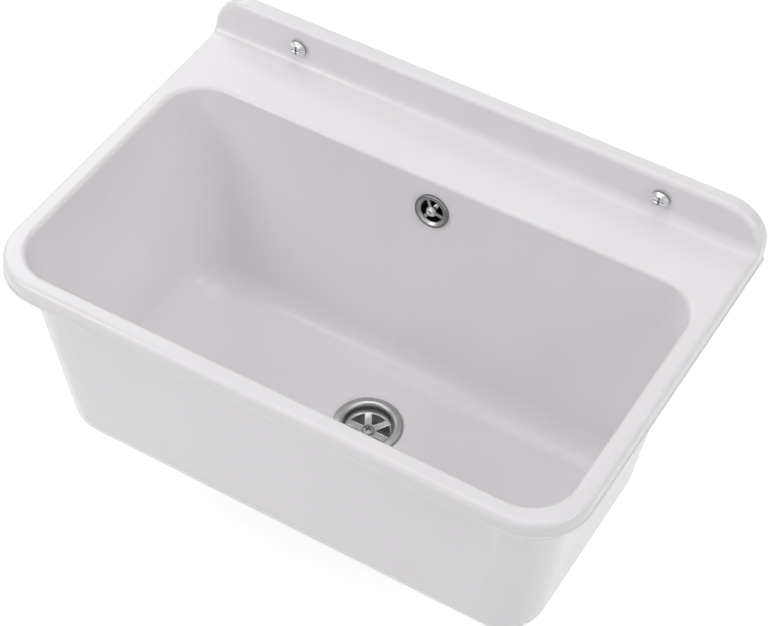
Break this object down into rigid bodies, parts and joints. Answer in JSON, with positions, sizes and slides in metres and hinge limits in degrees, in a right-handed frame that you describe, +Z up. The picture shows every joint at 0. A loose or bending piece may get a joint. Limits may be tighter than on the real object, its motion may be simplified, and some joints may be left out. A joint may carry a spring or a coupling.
{
  "type": "utility laundry sink",
  "caption": "Wall-hung moulded laundry tub with a deep rectangular basin, rear deck and upstand, strainer waste, overflow pipe and wall screws.",
  "frame": {"origin": "in the wall plane, midway between the two wall fixings", "axes": "+X along the wall to the right as one faces the sink, +Y into the wall, +Z up"},
  "size_m": [0.6, 0.4433, 0.365],
  "materials": {
    "tub_plastic": "glossy moulded polypropylene, white",
    "waste_plastic": "satin moulded polypropylene, white",
    "strainer_steel": "pressed stainless steel, satin",
    "screw_steel": "bright stainless steel",
    "washer_nylon": "grey nylon",
    "seal_rubber": "black rubber",
    "insert_brass": "turned brass"
  },
  "bodies": {
    "sink": {"tub": "tub_plastic", "drain_strainer": "strainer_steel", "drain_flange_seal": "seal_rubber", "drain_body_gasket": "seal_rubber", "drain_body": "waste_plastic", "drain_nut_insert": "insert_brass", "overflow_pipe": "waste_plastic", "overflow_elbow": "waste_plastic", "overflow_nut_insert": "insert_brass", "overflow_gasket": "seal_rubber", "overflow_rosette": "strainer_steel"},
    "left_washer": {"wall_washer_left": "washer_nylon"},
    "left_screw": {"wall_screw_left": "screw_steel"},
    "right_washer": {"wall_washer_right": "washer_nylon"},
    "right_screw": {"wall_screw_right": "screw_steel"},
    "drain_washer": {"drain_screw_washer": "screw_steel"},
    "drain_screw": {"drain_screw": "screw_steel"},
    "overflow_washer": {"overflow_screw_washer": "screw_steel"},
    "overflow_screw": {"overflow_screw": "screw_steel"},
    "lower_seal": {"lower_cone_seal": "seal_rubber"},
    "lower_nut": {"lower_union_nut": "waste_plastic"},
    "upper_seal": {"upper_cone_seal": "seal_rubber"},
    "upper_nut": {"upper_union_nut": "waste_plastic"}
  },
  "joints": [
    {"name": "left_washer_slide", "type": "slide", "parent": "sink", "child": "left_washer", "axis": [0, -1, 0], "range_m": [0, 0.04]},
    {"name": "left_screw_turn", "type": "hinge", "parent": "left_washer", "child": "left_screw", "pos_m": [-0.1975, 0, 0], "axis": [0, -1, 0], "range_deg": [0, 3600]},
    {"name": "right_washer_slide", "type": "slide", "parent": "sink", "child": "right_washer", "axis": [0, -1, 0], "range_m": [0, 0.04]},
    {"name": "right_screw_turn", "type": "hinge", "parent": "right_washer", "child": "right_screw", "pos_m": [0.1975, 0, 0], "axis": [0, -1, 0], "range_deg": [0, 3600]},
    {"name": "drain_washer_slide", "type": "slide", "parent": "sink", "child": "drain_washer", "axis": [0, 0, 1], "range_m": [0, 0.012]},
    {"name": "drain_screw_turn", "type": "hinge", "parent": "drain_washer", "child": "drain_screw", "pos_m": [0, -0.206, -0.2685], "axis": [0, 0, 1], "range_deg": [0, 4320]},
    {"name": "overflow_washer_slide", "type": "slide", "parent": "sink", "child": "overflow_washer", "axis": [0, -0.9901, 0.1403], "range_m": [0, 0.008]},
    {"name": "overflow_screw_turn", "type": "hinge", "parent": "overflow_washer", "child": "overflow_screw", "pos_m": [0, -0.0919, -0.0566], "axis": [0, -0.9901, 0.1403], "range_deg": [0, 3600]},
    {"name": "lower_seal_slide", "type": "slide", "parent": "sink", "child": "lower_seal", "axis": [0, 1, 0], "range_m": [0, 0.0092]},
    {"name": "lower_nut_turn", "type": "hinge", "parent": "lower_seal", "child": "lower_nut", "pos_m": [0, -0.15, -0.294], "axis": [0, 1, 0], "range_deg": [0, 1440]},
    {"name": "upper_seal_slide", "type": "slide", "parent": "sink", "child": "upper_seal", "axis": [0, 0, -1], "range_m": [0, 0.0092]},
    {"name": "upper_nut_turn", "type": "hinge", "parent": "upper_seal", "child": "upper_nut", "pos_m": [0, -0.06, -0.0986], "axis": [0, 0, -1], "range_deg": [0, 1440]}
  ],
  "couplings": [
    {"joint": "left_screw_turn", "follows": "left_washer_slide", "rad_per_m": 1570.8},
    {"joint": "right_screw_turn", "follows": "right_washer_slide", "rad_per_m": 1570.8},
    {"joint": "drain_screw_turn", "follows": "drain_washer_slide", "rad_per_m": 6283.2},
    {"joint": "overflow_screw_turn", "follows": "overflow_washer_slide", "rad_per_m": 7854},
    {"joint": "lower_seal_slide", "follows": "lower_nut_turn", "m_per_rad": 0.00036605},
    {"joint": "upper_seal_slide", "follows": "upper_nut_turn", "m_per_rad": 0.00036605}
  ]
}
